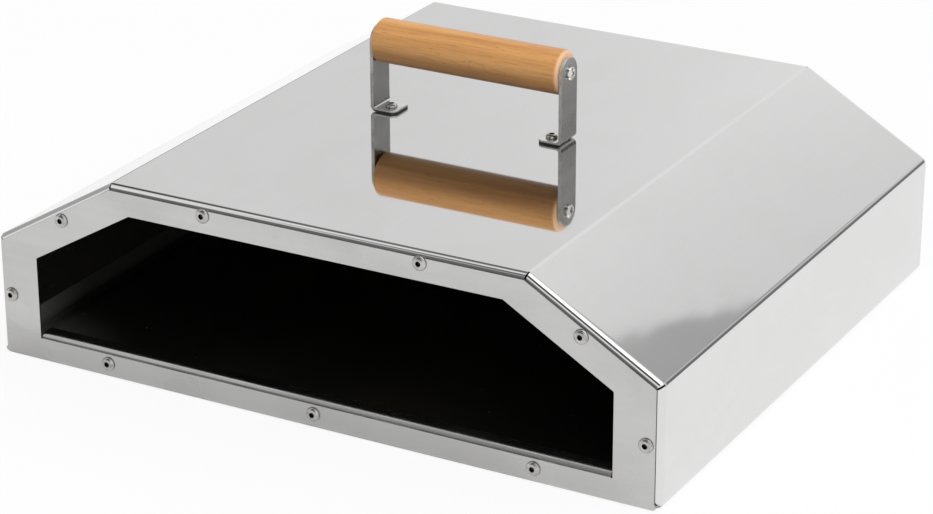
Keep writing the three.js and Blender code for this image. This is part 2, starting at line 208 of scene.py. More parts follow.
# Polished sheet: near mirror, with rolling lines along the depth, faint smudges and a slight warp.
def makeBrightSteel(values):
    material, tree, shader = newMaterial("brightSteel")
    grain = stretchedNoise(tree, values["grainStretch"], detail=2)
    smudge = stretchedNoise(tree, values["smudgeStretch"], detail=5, roughness=0.6, distortion=0.8)
    wave = stretchedNoise(tree, values["waveStretch"], detail=1, roughness=0.4)
    blotch = smoothShare(tree, smudge, *values["smudgeRange"])
    tone = mixColours(tree, blotch, values["light"], values["dull"])
    fine = rescale(tree, grain, *values["grainRange"], values["grainShare"], 1)
    setInputs(tree, shader, {
        "Base Color": multiplyColours(tree, tone, fine),
        "Metallic": 1.0,
        "Roughness": rescale(tree, smudge, *values["roughRange"], *values["roughness"]),
        "Normal": bump(tree, wave, values["waveDepth"]),
    })
    return material


satinSteelLook = {
    "light": (0.575, 0.573, 0.563),
    "dull": (0.53, 0.527, 0.515),
    "grainStretch": (10, 320, 320),  # lines across the width
    "grainShare": 0.972,
    "cloudStretch": (14, 14, 26),
    "roughness": (0.2, 0.32),
}


satinRanges = {
    "grain": (0.25, 0.75),
    "cloud": (0.35, 0.68),
    "rough": (0.3, 0.7),
}


# Satin steel: fine lines and clouds that are a little duller. It can be darker below a height, as a
# painted shadow.
def makeSatinSteel(name, values):
    material, tree, shader = newMaterial(name)
    grain = stretchedNoise(tree, values["grainStretch"], detail=3)
    cloud = stretchedNoise(tree, values["cloudStretch"], detail=4, roughness=0.55, distortion=0.4)
    dulled = smoothShare(tree, cloud, *satinRanges["cloud"])
    tone = mixColours(tree, dulled, values["light"], values["dull"])
    lines = rescale(tree, grain, *satinRanges["grain"], values["grainShare"], 1)
    colour = multiplyColours(tree, tone, lines)
    if "paintedShadowHeights" in values:
        # Painted shadow: darker below a height.
        up = addNode(tree, "ShaderNodeSeparateXYZ", {0: objectPlace(tree)}).outputs["Z"]
        paintedShade = rescale(tree, up, *values["paintedShadowHeights"], values["paintedShadowShare"], 1)
        colour = multiplyColours(tree, colour, paintedShade)
    setInputs(tree, shader, {
        "Base Color": colour,
        "Metallic": 1.0,
        "Roughness": rescale(tree, cloud, *satinRanges["rough"], *values["roughness"]),
    })
    return material


# Painted shade: the steel inside the oven is given a nearly black tone.
innerShadeLook = {
    "dark": (0.045, 0.045, 0.043),
    "brown": (0.075, 0.068, 0.054),
    "cloudStretch": (14, 7, 20),
    "cloudRange": (0.45, 0.8),
    "metallic": 0.55,
    "roughness": (0.2, 0.4),
    "roughRange": (0.3, 0.7),
}


# Inner faces, painted nearly black as painted shade for the oven's unlit inside, with faint straw and
# brown clouds.
def makeInnerShadeSteel(values):
    material, tree, shader = newMaterial("innerPaintedShadeSteel")
    cloud = stretchedNoise(tree, values["cloudStretch"], detail=4, roughness=0.6, distortion=0.6)
    browned = rescale(tree, cloud, *values["cloudRange"])
    setInputs(tree, shader, {
        "Base Color": mixColours(tree, browned, values["dark"], values["brown"]),
        "Metallic": values["metallic"],
        "Roughness": rescale(tree, cloud, *values["roughRange"], *values["roughness"]),
    })
    return material


panInsideLook = {
    # painted shade: the floor's nearly black tone stands in for the unlit inside
    "floor": (0.045, 0.0445, 0.041),
    "streak": (0.085, 0.08, 0.055),
    "flange": (0.30, 0.295, 0.28),
    "flangeFoot": 0.0035,
    "flangeTop": 0.009,
    "paintedFlangeShadeDepths": (-0.17, -0.09),  # depths between which the flanges darken: painted light near the mouth, painted shade deeper inside
    "paintedFlangeLightShares": (1.6, 0.22),
    "corner": (-0.198, -0.172, 0),  # a painted pool of light on the floor round this spot
    "paintedLightReach": 0.07,
    "paintedLightTone": (0.6, 0.59, 0.56),
    "floorMetallic": 0.8,
    "flangeMetallic": 0.3,
    "cloudStretch": (9, 6, 9),
    "cloudRange": (0.42, 0.8),
    "cloudDepth": 0.0002,
    "dustTone": (0.42, 0.40, 0.36),
    "dustSize": 620,  # cells per metre, of which a share holds a speck
    "dustShare": 0.02,
    "dustRange": (0.16, 0.24),
    "patchStretch": (22, 22, 22),
    "patchRange": (0.56, 0.62),
    "roughness": (0.10, 0.22),
    "roughRange": (0.3, 0.75),
}


# Pan, inner side: a glossy floor painted nearly black as painted shade, with a few specks, side flanges
# painted lighter towards the mouth as painted light, and a painted pool of light by the front left
# corner.
def makePanInside(values):
    material, tree, shader = newMaterial("panInside")
    place = objectPlace(tree)
    parts = addNode(tree, "ShaderNodeSeparateXYZ", {0: place}).outputs
    raised = smoothShare(tree, parts["Z"], values["flangeFoot"], values["flangeTop"])
    cloud = stretchedNoise(tree, values["cloudStretch"], detail=5, roughness=0.6, distortion=0.7)
    cells = addNode(tree, "ShaderNodeTexVoronoi", {"Vector": place, "Scale": values["dustSize"]})
    chosen = addNode(tree, "ShaderNodeSeparateColor", {0: cells.outputs["Color"]}).outputs[0]
    near = rescale(tree, cells.outputs["Distance"], *values["dustRange"], 1, 0)
    picked = calculate(tree, "LESS_THAN", chosen, values["dustShare"])
    patch = rescale(tree, stretchedNoise(tree, values["patchStretch"], detail=2), *values["patchRange"])
    speck = calculate(tree, "MULTIPLY", calculate(tree, "MULTIPLY", near, picked), patch)
    streaked = rescale(tree, cloud, *values["cloudRange"])
    ground = mixColours(tree, streaked, values["floor"], values["streak"])
    # Painted light: the flanges are lighter near the mouth and darker deeper inside.
    paintedFade = rescale(tree, parts["Y"], *values["paintedFlangeShadeDepths"], 1, 0)
    level = rescale(tree, calculate(tree, "MULTIPLY", paintedFade, paintedFade), 1, 0, *values["paintedFlangeLightShares"])
    flange = multiplyColours(tree, values["flange"], level)
    # Painted light: a lighter pool on the floor round the front left corner.
    away = measure(tree, "DISTANCE", place, values["corner"])
    paintedLightShare = rescale(tree, away, 0, values["paintedLightReach"], 1, 0, "SMOOTHSTEP")
    paintedLit = mixColours(tree, paintedLightShare, ground, values["paintedLightTone"])
    toned = mixColours(tree, raised, paintedLit, flange)
    metallic = rescale(tree, raised, 0, 1, values["floorMetallic"], values["flangeMetallic"])
    setInputs(tree, shader, {
        "Base Color": mixColours(tree, speck, toned, values["dustTone"]),
        "Metallic": calculate(tree, "SUBTRACT", metallic, speck, True),
        "Roughness": rescale(tree, cloud, *values["roughRange"], *values["roughness"]),
        "Normal": bump(tree, cloud, values["cloudDepth"]),
    })
    return material


beechLook = {
    "pale": (0.80, 0.418, 0.142),
    "mid": (0.635, 0.298, 0.092),
    "deep": (0.46, 0.203, 0.065),
    "fleck": (0.22, 0.085, 0.03),
    "endGrain": (0.80, 0.50, 0.29),
    "endFrom": (0.0566, 0.0571),  # from the grip's middle, where its rims start
    "ringStretch": (2.6, 62, 62),
    "ringStops": [(0.30, "deep"), (0.46, "mid"), (0.62, "pale"), (0.78, "mid")],
    "grainStretch": (6, 260, 260),
    "grainRange": (0.38, 0.66),
    "grainShare": 0.75,
    "poreStretch": (70, 1300, 1300),
    "poreRange": (0.52, 0.70),
    "poreShare": 0.5,
    "fleckStretch": (330, 1500, 1500),
    "fleckRange": (0.70, 0.755),
    "fleckShare": 0.5,
    "fleckSink": 0.6,  # beside the height of the grain
    "grainDepth": 0.00004,
    "roughness": (0.38, 0.52),
    "roughRange": (0.3, 0.7),
    "coat": 0.15,
    "coatRoughness": 0.3,
    "heights": (0.1405, 0.1655),  # between which the painted shade on its underside fades out, going up
    "paintedUndersideShade": 0.54,
}


# Turned beech: growth bands and fine grain along the grip, short dark flecks, an oiled surface, and
# painted shade that darkens its underside.
def makeBeech(values):
    material, tree, shader = newMaterial("beech")
    ring = stretchedNoise(tree, values["ringStretch"], detail=2, roughness=0.5, distortion=1.1)
    grain = stretchedNoise(tree, values["grainStretch"], detail=5, roughness=0.62, distortion=0.25)
    pores = stretchedNoise(tree, values["poreStretch"], detail=2, roughness=0.6)
    flecks = stretchedNoise(tree, values["fleckStretch"], detail=1, roughness=0.4, shift=(3, 7, 1))
    banded = ramp(tree, ring, [(place, values[tone]) for place, tone in values["ringStops"]])
    fine = rescale(tree, grain, *values["grainRange"], 0, values["grainShare"], "SMOOTHSTEP")
    lined = mixColours(tree, fine, banded, values["pale"])
    pored = rescale(tree, pores, *values["poreRange"], 0, values["poreShare"])
    spotted = rescale(tree, flecks, *values["fleckRange"], 0, values["fleckShare"], "SMOOTHSTEP")
    flecked = mixColours(tree, spotted, mixColours(tree, pored, lined, values["deep"]), values["fleck"])
    parts = addNode(tree, "ShaderNodeSeparateXYZ", {0: objectPlace(tree)}).outputs
    atEnd = rescale(tree, calculate(tree, "ABSOLUTE", parts["X"]), *values["endFrom"])
    ended = mixColours(tree, atEnd, flecked, values["endGrain"])
    # Painted shade: the wood is darker towards its underside.
    paintedShade = rescale(tree, parts["Z"], *values["heights"], values["paintedUndersideShade"], 1, "SMOOTHSTEP")
    sunk = calculate(tree, "MULTIPLY", spotted, values["fleckSink"])
    setInputs(tree, shader, {
        "Base Color": multiplyColours(tree, ended, paintedShade),
        "Roughness": rescale(tree, grain, *values["roughRange"], *values["roughness"]),
        "Normal": bump(tree, calculate(tree, "SUBTRACT", grain, sunk), values["grainDepth"]),
        "Coat Weight": values["coat"],
        "Coat Roughness": values["coatRoughness"],
    })
    return material


brightSteel = makeBrightSteel(brightSteelLook)
satinSteel = makeSatinSteel("satinSteel", satinSteelLook)
# The brackets' one steel in two copies: painted darker on the straps as painted shade.
strapShadeLook = {
    "light": (0.39, 0.386, 0.375),
    "dull": (0.32, 0.316, 0.305),
    "grainStretch": (500, 500, 40),  # lines up the strap
    "grainShare": 0.93,
    "cloudStretch": (60, 60, 60),
    "roughness": (0.18, 0.3),
}
strapShadedSteel = makeSatinSteel("strapShadedSteel", strapShadeLook)
# The straps' edges, painted light as a painted highlight.
edgeHighlightLook = {
    "light": (0.82, 0.815, 0.79),
    "dull": (0.56, 0.555, 0.54),
    "grainStretch": (600, 600, 90),
    "grainShare": 0.85,
    "cloudStretch": (160, 160, 160),
    "roughness": (0.45, 0.6),
}
edgeHighlightSteel = makeSatinSteel("edgeHighlightSteel", edgeHighlightLook)
# The tabs: the same steel painted lighter as painted light.
tabLightLook = {
    "light": (0.78, 0.775, 0.755),
    "dull": (0.68, 0.675, 0.655),
    "grainStretch": (60, 400, 400),
    "grainShare": 0.93,
    "cloudStretch": (80, 80, 80),
    "roughness": (0.16, 0.26),
}
tabLitSteel = makeSatinSteel("tabLitSteel", tabLightLook)
# The tabs' edges: a painted highlight, with a painted shadow below a height where they meet the roof.
tabEdgeLightAndShadowLook = {
    "light": (0.86, 0.855, 0.84),
    "dull": (0.74, 0.735, 0.72),
    "grainStretch": (200, 200, 200),
    "grainShare": 0.92,
    "cloudStretch": (120, 120, 120),
    "roughness": (0.4, 0.55),
    # painted shadow: darker below this height, where the tab meets the roof
    "paintedShadowHeights": (0.1139, 0.1144),
    "paintedShadowShare": 0.12,
}
tabEdgeLightAndShadowSteel = makeSatinSteel("tabEdgeLightAndShadowSteel", tabEdgeLightAndShadowLook)
# The plates' cut edges and a band of the sill's lip, painted near black as painted shade.
cutEdgeShadeLook = {
    "light": (0.22, 0.215, 0.205),
    "dull": (0.13, 0.127, 0.12),
    "grainStretch": (200, 200, 200),
    "grainShare": 0.85,
    "cloudStretch": (60, 60, 60),
    "roughness": (0.35, 0.5),
}
cutEdgeShadeSteel = makeSatinSteel("cutEdgeShadeSteel", cutEdgeShadeLook)
fastenerLook = {
    "light": (0.58, 0.575, 0.56),
    "dull": (0.42, 0.415, 0.40),
    "grainStretch": (500, 500, 500),
    "grainShare": 0.9,
    "cloudStretch": (260, 260, 260),
    "roughness": (0.14, 0.28),
}
fastenerSteel = makeSatinSteel("fastenerSteel", fastenerLook)
screwLook = {
    "light": (0.76, 0.755, 0.74),
    "dull": (0.64, 0.635, 0.62),
    "grainStretch": (300, 300, 300),
    "grainShare": 0.97,
    "cloudStretch": (160, 160, 160),
    "roughness": (0.12, 0.2),
}
screwSteel = makeSatinSteel("screwSteel", screwLook)
# The rivets' pits and the screws' cross recesses, painted near black as painted shade.
recessShadeLook = {
    "light": (0.05, 0.048, 0.045),
    "dull": (0.015, 0.014, 0.013),
    "grainStretch": (900, 900, 900),
    "grainShare": 0.9,
    "cloudStretch": (300, 300, 300),
    "roughness": (0.3, 0.5),
}
recessShadeSteel = makeSatinSteel("recessShadeSteel", recessShadeLook)
innerShadeSteel = makeInnerShadeSteel(innerShadeLook)
panInside = makePanInside(panInsideLook)
beech = makeBeech(beechLook)
print("materials made")


# Coordinates, each a number or an array, are spread to one shape and become points.
def pointsOf(*coordinates):
    return np.stack(np.broadcast_arrays(*coordinates), axis=-1)


# Neighbouring points of a grid joined by quads that face the way of rows crossed with columns.
def gridQuads(rows, columns, start):
    index = start + np.arange(rows * columns).reshape(rows, columns)
    quads = np.stack([index[:-1, :-1], index[1:, :-1], index[1:, 1:], index[:-1, 1:]], axis=-1)
    return quads.reshape(-1, 4)


# Patches are grids of points, each with its material's number or one number for each of its faces.
# Points that coincide are welded.
def makePiece(name, patches, materials, node, sharpAngle=32):
    points, quads, kinds = [], [], []
    start = 0
    for grid, kind in patches:
        rows, columns = grid.shape[:2]
        points.append(grid.reshape(-1, 3))
        faces = gridQuads(rows, columns, start)
        quads.append(faces)
        kinds.append(np.zeros(len(faces)) + np.ravel(kind))
        start += rows * columns
    mesh = bpy.data.meshes.new(name)
    places = np.concatenate(points) * millimetre
    mesh.from_pydata(places.tolist(), [], np.concatenate(quads).tolist())
    mesh.polygons.foreach_set("material_index", np.concatenate(kinds).astype(np.int32))
    work = bmesh.new()
    work.from_mesh(mesh)
    bmesh.ops.remove_doubles(work, verts=work.verts, dist=weldDistance)
    bmesh.ops.dissolve_degenerate(work, edges=work.edges, dist=weldDistance / 2)
    work.to_mesh(mesh)
    work.free()
    for material in materials:
        mesh.materials.append(material)
    mesh.shade_smooth()
    mesh.set_sharp_from_angle(angle=math.radians(sharpAngle))
    piece = bpy.data.objects.new(name, mesh)
    bpy.context.scene.collection.objects.link(piece)
    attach(piece, "root")
    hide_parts(node)
    return piece


finish = {
    "edgeSteps": 2,
    "edgeAngle": 50,
    "flatWeight": 90,
}


# Gives a sheet its thickness behind the face it was drawn on, and can round its edges.
def thicken(piece, sheet, innerMaterial=0, rimMaterial=0, edge=0.0):
    solid = piece.modifiers.new("sheet", "SOLIDIFY")
    solid.thickness = sheet * millimetre
    solid.offset = -1
    solid.use_even_offset = True
    solid.use_quality_normals = True
    solid.material_offset = innerMaterial
    solid.material_offset_rim = rimMaterial
    if edge:
        bevel = piece.modifiers.new("edge", "BEVEL")
        bevel.width = edge * millimetre
        bevel.segments = finish["edgeSteps"]
        bevel.limit_method = "ANGLE"
        bevel.angle_limit = math.radians(finish["edgeAngle"])
    weighted = piece.modifiers.new("flats", "WEIGHTED_NORMAL")
    weighted.keep_sharp = True
    weighted.weight = finish["flatWeight"]


# Outward normal of the edge between two corners that are given clockwise.
def outwardNormal(start, end):
    along = (end - start) / np.linalg.norm(end - start)
    return np.array([-along[1], along[0]])


# The point that lies at the given distances inside the two edges that meet at a corner.
def insideCorner(before, corner, after, distanceBefore, distanceAfter):
    first, second = outwardNormal(before, corner), outwardNormal(corner, after)
    offsets = np.array([corner @ first - distanceBefore, corner @ second - distanceAfter])
    return np.linalg.solve(np.stack([first, second]), offsets)


# A round corner: points on an arc between the directions of the two edges' normals.
def roundCorner(before, corner, after, radius, count):
    centre = insideCorner(before, corner, after, radius, radius)
    first, second = outwardNormal(before, corner), outwardNormal(corner, after)
    begin = math.atan2(first[1], first[0])
    turn = math.atan2(first[0] * second[1] - first[1] * second[0], first @ second)
    angles = begin + turn * np.linspace(0, 1, count)
    return centre + radius * pointsOf(np.cos(angles), np.sin(angles))


# Spots across (x) and up (z) become points in space at a given depth (y).
def atDepth(spots, depth):
    return pointsOf(spots[..., 0], depth, spots[..., 1])


body = {
    "width": 400,
    "depth": 350,
    "height": 113,
    "wallHeight": 68.7,
    "roofWidth": 249,
    "sheet": 1,
    "bendRadius": 4.4,
    "footRadius": 4.4,
    "hemRadius": 3.8,
    "hemWidth": 12,
    "hemRow": 7.5,  # a row of points between the roll and the inner edge
    "slitWidth": 1,
    "rearSlitWidth": 0.1,
    "slitDepth": 4.8,
    "footCut": 2,  # how far the turned edge's lower end climbs behind the plate
    "mitreReach": 1.7,  # from the foot bend's axis to the slit under the turned edge
    "bendSteps": 7,
    "rollSteps": 9,
    "panelSteps": 9,
    "mitreSteps": 6,
    "depthSteps": 13,
}


def bodyCorners():
    side, ridge = body["width"] / 2, body["roofWidth"] / 2
    return np.array([
        (-side, 0),
        (-side, body["wallHeight"]),
        (-ridge, body["height"]),
        (ridge, body["height"]),
        (side, body["wallHeight"]),
        (side, 0),
    ], float)


# Both halves of a bend, at each inset from the outline: an arc that shrinks with the inset, from the
# tangent point of its edge to the edge of the slit along the corner's bisector.
def bendHalves(before, corner, after, insets, slit):
    first, second = outwardNormal(before, corner), outwardNormal(corner, after)
    turn = math.acos(first @ second) / 2
    middle = (first + second) / np.linalg.norm(first + second)
    deep = np.maximum(insets, body["bendRadius"])
    centre = corner - middle * (deep / math.cos(turn))[:, None]
    radius = np.maximum(body["bendRadius"] - insets, 0)
    onArc = radius * math.sin(turn) >= slit
    inner = np.where(onArc, np.arcsin(np.clip(slit / np.maximum(radius, slit), 0, 1)), turn)
    back = np.where(onArc, 0, (slit - radius * math.sin(turn)) / math.cos(turn))
    share = np.linspace(0, 1, body["bendSteps"])
    angles = turn + (inner - turn)[:, None] * share
    halves = []
    for edgeNormal, side in ((first, -1), (second, 1)):
        across = side * np.array([middle[1], -middle[0]])
        arc = centre[:, None] + radius[:, None, None] * (
            np.cos(angles)[..., None] * middle + np.sin(angles)[..., None] * across
        )
        along = side * np.array([edgeNormal[1], -edgeNormal[0]])
        halves.append(arc + (back[:, None] * along)[:, None])
    return halves[0], halves[1][:, ::-1]


# One turned edge: across it runs the developed distance from the flat panel over the roll to the hem's
# inner edge, and along it the panel's length between the slits of its two corners.
def hemPatch(corners, panel, end):
    roll = np.linspace(0, math.pi / 2, body["rollSteps"])
    rolled = body["hemRadius"] * (1 - np.cos(roll))
    insets = np.concatenate([[0], rolled, [body["hemRow"], body["hemWidth"]]])
    back = np.concatenate([[body["slitDepth"]], body["hemRadius"] * (1 - np.sin(roll)), [0, 0]])
    depths = body["depth"] / 2 - back
    slit = np.full(len(insets), body["slitWidth"] / 2)
    if end > 0:
        slit[1:] = body["rearSlitWidth"] / 2
    rise = body["footRadius"] + body["footCut"] * (insets >= body["hemRow"])
    if panel == 0:
        first = pointsOf(corners[0][0] + insets, rise)[:, None]
    else:
        first = bendHalves(*corners[panel - 1:panel + 2], insets, slit)[1]
    if panel == len(corners) - 2:
        second = pointsOf(corners[-1][0] - insets, rise)[:, None]
    else:
        second = bendHalves(*corners[panel:panel + 3], insets, slit)[0]
    start, stop = first[:, -1:], second[:, :1]
    share = np.linspace(0, 1, body["panelSteps"])[None, 1:-1, None]
    spots = np.concatenate([first, start + (stop - start) * share, second], axis=1)
    grid = atDepth(spots, (end * depths)[:, None])
    return grid if end < 0 else grid[:, ::-1]


# The turned edge's lower end: it follows the foot bend down to the slit, a line at 45 degrees.
def footPatch(side, end):
    roll = np.linspace(0, math.pi / 2, body["rollSteps"])
    radius = body["footRadius"] - body["hemRadius"] * (1 - np.cos(roll))
    stop = np.arccos(np.minimum(body["mitreReach"] / radius, math.sqrt(0.5))) - math.pi / 4
    angles = stop[:, None] * np.linspace(1, 0, body["mitreSteps"])
    across = body["width"] / 2 - body["footRadius"] + radius[:, None] * np.cos(angles)
    up = body["footRadius"] - radius[:, None] * np.sin(angles)
    depths = body["depth"] / 2 - body["hemRadius"] * (1 - np.sin(roll))
    grid = pointsOf(side * across, (end * depths)[:, None], up)
    kept = radius > body["mitreReach"] * math.sqrt(2)
    grid = grid[: np.count_nonzero(kept) + 1]
    return grid if end * side > 0 else grid[:, ::-1]


# The folded sheet: flats joined by half bends, carried along the depth. A turned edge is added to each
# panel at both ends.
def makeShell():
    corners = bodyCorners()
    reach = body["depth"] / 2 - body["slitDepth"]
    wall, foot, hem = body["width"] / 2, body["footRadius"], body["hemWidth"]
    flat, slit = np.zeros(1), np.full(1, body["slitWidth"] / 2)
    turnIn = np.linspace(0, math.pi / 2, body["rollSteps"])
    footArc = pointsOf(-wall + foot - foot * np.sin(turnIn), foot - foot * np.cos(turnIn))
    footRows = np.concatenate([[(-wall + hem, 0)], footArc])
    share = np.linspace(0, 1, body["panelSteps"])[1:-1, None]
    rows = [footRows]
    for i in range(1, len(corners) - 1):
        halves = [half[0] for half in bendHalves(*corners[i - 1:i + 2], flat, slit)]
        rows.append(rows[-1][-1] + (halves[0][0] - rows[-1][-1]) * share)
        rows.extend(halves)
    mirrored = footRows[::-1] * (-1, 1)
    rows.append(rows[-1][-1] + (mirrored[0] - rows[-1][-1]) * share)
    rows.append(mirrored)
    outline = np.concatenate(rows)
    patches = [(atDepth(outline[:, None], np.linspace(-reach, reach, body["depthSteps"])), 0)]
    rollStart = body["depth"] / 2 - body["hemRadius"]
    signs = (-1, 1)
    for strip in (footRows, mirrored):
        for end in signs:
            pair = np.array(sorted((end * reach, end * rollStart)))
            patches.append((atDepth(strip[:, None], pair), 0))
    panels = range(len(corners) - 1)
    patches += [(hemPatch(corners, panel, end), 0) for panel in panels for end in signs]
    patches += [(footPatch(side, end), 0) for side in signs for end in signs]
    shell = makePiece("bodyShell", patches, [brightSteel, innerShadeSteel], "body_shell")
    thicken(shell, body["sheet"], innerMaterial=1)


makeShell()
print("body shell made")

plate = {
    "face": 176.1,  # depth of its front face
    "inset": 2.9,
    "cornerRadius": 0.6,
    "wallBand": 26.1,
    "slopeBand": 20,
    "roofBand": 15.8,
    "mouthRadius": 1.2,
    "slotBottom": 13.6,
    "slotWidth": 0.8,
    "sillHeight": 16.9,
    "lip": [(60, 2.2), (48, 5), (0, 3.6)],  # arcs up from the face: tilt at the end, radius
    "sillDepth": 9,
    "sillColumns": (64, 129.7),  # besides the middle
    "paintedShadeRows": slice(-5, -1),  # rows of faces on the lip painted dark like a cut edge, a painted shade line
    "mitreHeight": 4.5,
    "mitreTip": 198.4,
    "toeRadius": 2.5,
    "toeRows": (3.6, 3),
    "toeLength": 12.5,
    "toeSide": 187.7,
    "roundSteps": 7,
    "edge": 0.16,
}


# Cross-section of the plate's lower edge, from the slots down the face and under the pan, with the half
# width that each of its points has.
def toeProfile():
    side = body["width"] / 2 - plate["inset"]
    radius, foot = plate["toeRadius"], body["footRadius"]
    angles = np.linspace(0, math.pi / 2, plate["roundSteps"])
    straight = [plate["slotBottom"], plate["mitreHeight"], *plate["toeRows"]]
    heights = np.append(straight, radius - radius * np.sin(angles))
    depths = plate["face"] + np.append(0 * np.array(straight), radius * np.cos(angles) - radius)
    flare = side + np.maximum(plate["mitreHeight"] - heights, 0)
    low = np.maximum(foot - heights, 0)
    rounded = plate["mitreTip"] - foot + np.sqrt(foot**2 - low**2)
    return pointsOf(depths, heights, np.minimum(flare, rounded))


# The face in three parts: a band that runs round the mouth from its outline to the plate's outline, a
# lower band with the fold under it, and the folded sill. Each is a straight blend between two edges.
def platePatches(hasMouth):
    corners = bodyCorners()
    side = body["width"] / 2 - plate["inset"]
    mouthSide = body["width"] / 2 - plate["wallBand"]
    slotEnd = mouthSide - plate["slotWidth"]
    half = np.array([*plate["sillColumns"], slotEnd])
    inner = np.concatenate([-half[::-1], [0], half])
    columns = np.array([-plate["toeSide"], -mouthSide, *inner, mouthSide, plate["toeSide"]])
    profile = toeProfile()
    spread = pointsOf(-profile[:, 2], *columns, profile[:, 2])
    patches = [(pointsOf(spread, -profile[:, :1], profile[:, 1:2]), 0)]
    underRow = pointsOf(columns, profile[-1, 0], 0)
    underEnd = underRow - (0, plate["toeLength"] - plate["toeRadius"], 0)
    patches.append((np.stack([underRow, underEnd]) * (1, -1, 1), 0))
    outerBands = [plate["wallBand"], plate["slopeBand"]]
    bands = [*outerBands, plate["roofBand"], *outerBands[::-1]]
    outlines, folds = [], range(1, len(corners) - 1)
    for insets, end, radius in (
        ([plate["inset"]] * len(bands), side, plate["cornerRadius"]),
        (bands, mouthSide, plate["mouthRadius"]),
    ):
        foot = np.array((-end, plate["slotBottom"]))
        spots = [insideCorner(*corners[i - 1:i + 2], *insets[i - 1:i + 1]) for i in folds]
        spots = [foot, *spots, foot * (-1, 1)]
        arcs = [roundCorner(*spots[i - 1:i + 2], radius, plate["roundSteps"]) for i in folds]
        outlines.append(np.concatenate([spots[:1], *arcs, spots[-1:]]))
    outer, mouth = outlines
    if not hasMouth:
        left = outer[: len(outer) // 2]
        across = np.concatenate([left[:, :1], -left[:, :1] * columns / side, -left[:, :1]], axis=1)
        return [*patches, (pointsOf(across, -plate["face"], left[:, 1:])[::-1], 0)]
    middle = (side - plate["toeSide"]) / (side - mouthSide)
    share = np.array([1, middle, 0])[None, :, None]
    ring = outer[:, None] * (1 - share) + mouth[:, None] * share
    patches.append((atDepth(ring, -plate["face"]), 0))
    curve, begin = [np.zeros((1, 2))], math.pi / 2
    for tilt, radius in plate["lip"]:
        angles = np.linspace(begin, math.radians(tilt), plate["roundSteps"])[1:]
        moved = pointsOf(np.sin(angles) - math.sin(begin), np.cos(angles) - math.cos(begin))
        curve.append(curve[-1][-1] + radius * moved)
        begin = math.radians(tilt)
    rising = np.concatenate(curve)
    lip = np.array([
        (plate["face"] - plate["sillDepth"], plate["sillHeight"]),
        *(rising + (plate["face"], plate["sillHeight"] - rising[-1, 1]))[::-1],
        (plate["face"], plate["slotBottom"]),
    ])
    sill = pointsOf(inner, -lip[:, :1], lip[:, 1:])
    kinds = np.zeros((len(lip) - 1, len(inner) - 1))
    kinds[plate["paintedShadeRows"]] = 2
    return [*patches, (sill, kinds)]


def makePlates():
    turned = [((grid * (1, -1, 1))[:, ::-1], kind) for grid, kind in platePatches(False)]
    for name, node, patches in (
        ("frontFrame", "front_frame", platePatches(True)),
        ("rearPanel", "rear_panel", turned),
    ):
        steels = [satinSteel, innerShadeSteel, cutEdgeShadeSteel]
        sheet = makePiece(name, patches, steels, node)
        thicken(sheet, body["sheet"], innerMaterial=1, rimMaterial=2, edge=plate["edge"])


makePlates()
print("front and rear plates made")

pan = {
    "side": 198.7,
    "end": 174.7,
    "bottom": 1.1,
    "sheet": 0.8,
    "bend": 3,
    "sideHeight": 15,
    "endHeight": 12,
    "endSide": 186,
    "notch": 171.2,
    "inner": 150,  # where the outer rows of points on its floor lie
    "acrossSteps": 7,
    "alongSteps": 9,
    "bendSteps": 8,
}


# The pan's underside: a flat floor, and on each edge a quarter bend that runs up into a flange.
def makePan():
    floorX = pan["side"] - pan["bend"]
    middle = np.linspace(-pan["inner"], pan["inner"], pan["acrossSteps"])
    across = np.array([-floorX, -pan["endSide"], *middle, pan["endSide"], floorX])
    along = np.linspace(-pan["notch"], pan["notch"], pan["alongSteps"])

    def flange(reach, height):
        angles = np.linspace(0, math.pi / 2, pan["bendSteps"])
        out = np.append(reach - pan["bend"] + pan["bend"] * np.sin(angles), reach)
        up = np.append(pan["bend"] - pan["bend"] * np.cos(angles), height) + pan["bottom"]
        return out, up

    patches = [(pointsOf(across, along[:, None], pan["bottom"]), 0)]
    out, up = flange(pan["side"], pan["sideHeight"])
    grid = pointsOf(out[:, None], along, up[:, None])
    patches.append((grid[:, ::-1], 0))
    patches.append((grid * (-1, 1, 1), 0))
    out, up = flange(pan["end"], pan["endHeight"])
    out, up = np.insert(out, 0, pan["notch"]), np.insert(up, 0, pan["bottom"])
    grid = pointsOf(across[1:-1], out[:, None], up[:, None])
    patches.append((grid, 0))
    patches.append(((grid * (1, -1, 1))[:, ::-1], 0))
    piece = makePiece("floorPan", patches, [brightSteel, panInside], "floor_pan")
    thicken(piece, pan["sheet"], innerMaterial=1)


makePan()
print("floor pan made")


# A profile of radius and height turned about the vertical axis through zero.
def turnedGrid(profile, steps):
    angles = np.linspace(0, 2 * math.pi, steps + 1)
    radius, height = profile[:, :1], profile[:, 1:]
    return pointsOf(radius * np.cos(angles), radius * np.sin(angles), height)


# Turns a grid from its own axis to a direction and moves it to its place.
def placeGrid(grid, axis, place):
    turn = np.array(Vector((0, 0, 1)).rotation_difference(Vector(axis)).to_matrix())
    return grid @ turn.T + place


rivet = {
    "rim": 0.35,
    "underEdge": 0.05,
    "shank": 2,
    "pitRadius": 1.5,
    "pitDepth": 1.2,
    "pitFloor": [(0, 0.25), (0.62, 0.2), (0.86, 0)],  # share of the pit's radius, height
    "lip": 0.12,
    "bulb": 2.9,
    "bulbLength": 3.2,
    "bulbLead": 0.3,
    "bulbEdge": (0.3, 0.4),
    "domeSteps": 12,
    "steps": 48,
}


